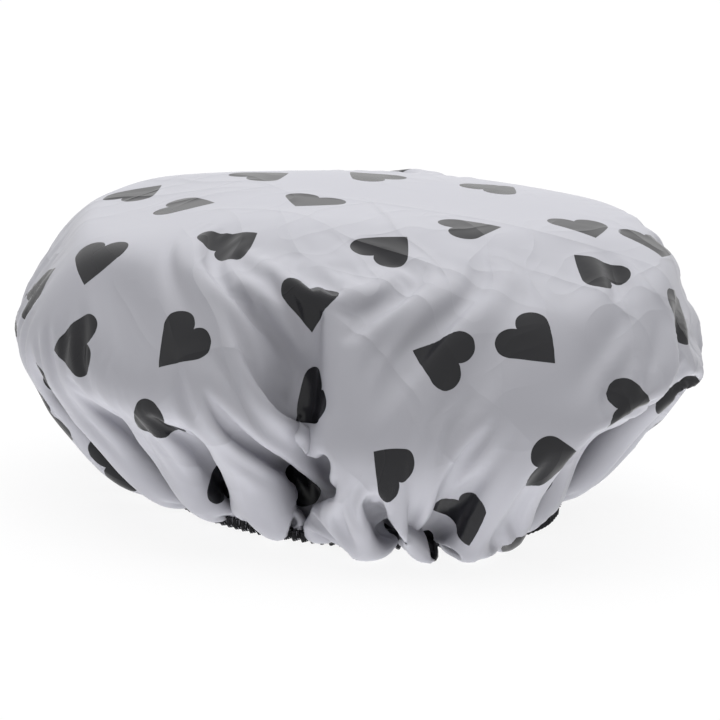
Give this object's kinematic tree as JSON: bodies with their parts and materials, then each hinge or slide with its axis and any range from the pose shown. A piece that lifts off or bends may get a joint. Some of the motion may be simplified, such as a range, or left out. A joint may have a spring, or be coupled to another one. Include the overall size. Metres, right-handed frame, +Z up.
{
  "type": "shower cap",
  "caption": "Puffed round cap of thin printed film, gathered into a mouth by an elastic sewn inside an overlocked edge.",
  "frame": {"origin": "middle of the cap's bounding box, on the surface that the mouth stands on", "axes": "+Z up through the crown, +X to the right of the pictured front, which faces -Y"},
  "size_m": [0.2701, 0.2558, 0.1205],
  "materials": {
    "film": "thin soft plastic film, milky light grey with a satin sheen, printed with black hearts",
    "elastic": "black woven elastic tape",
    "thread": "black textured polyester overlock thread"
  },
  "bodies": {
    "root": {"cap_film": "film", "elastic_band": "elastic", "needle_thread": "thread", "upper_looper_thread": "thread", "lower_looper_thread": "thread"}
  },
  "joints": []
}
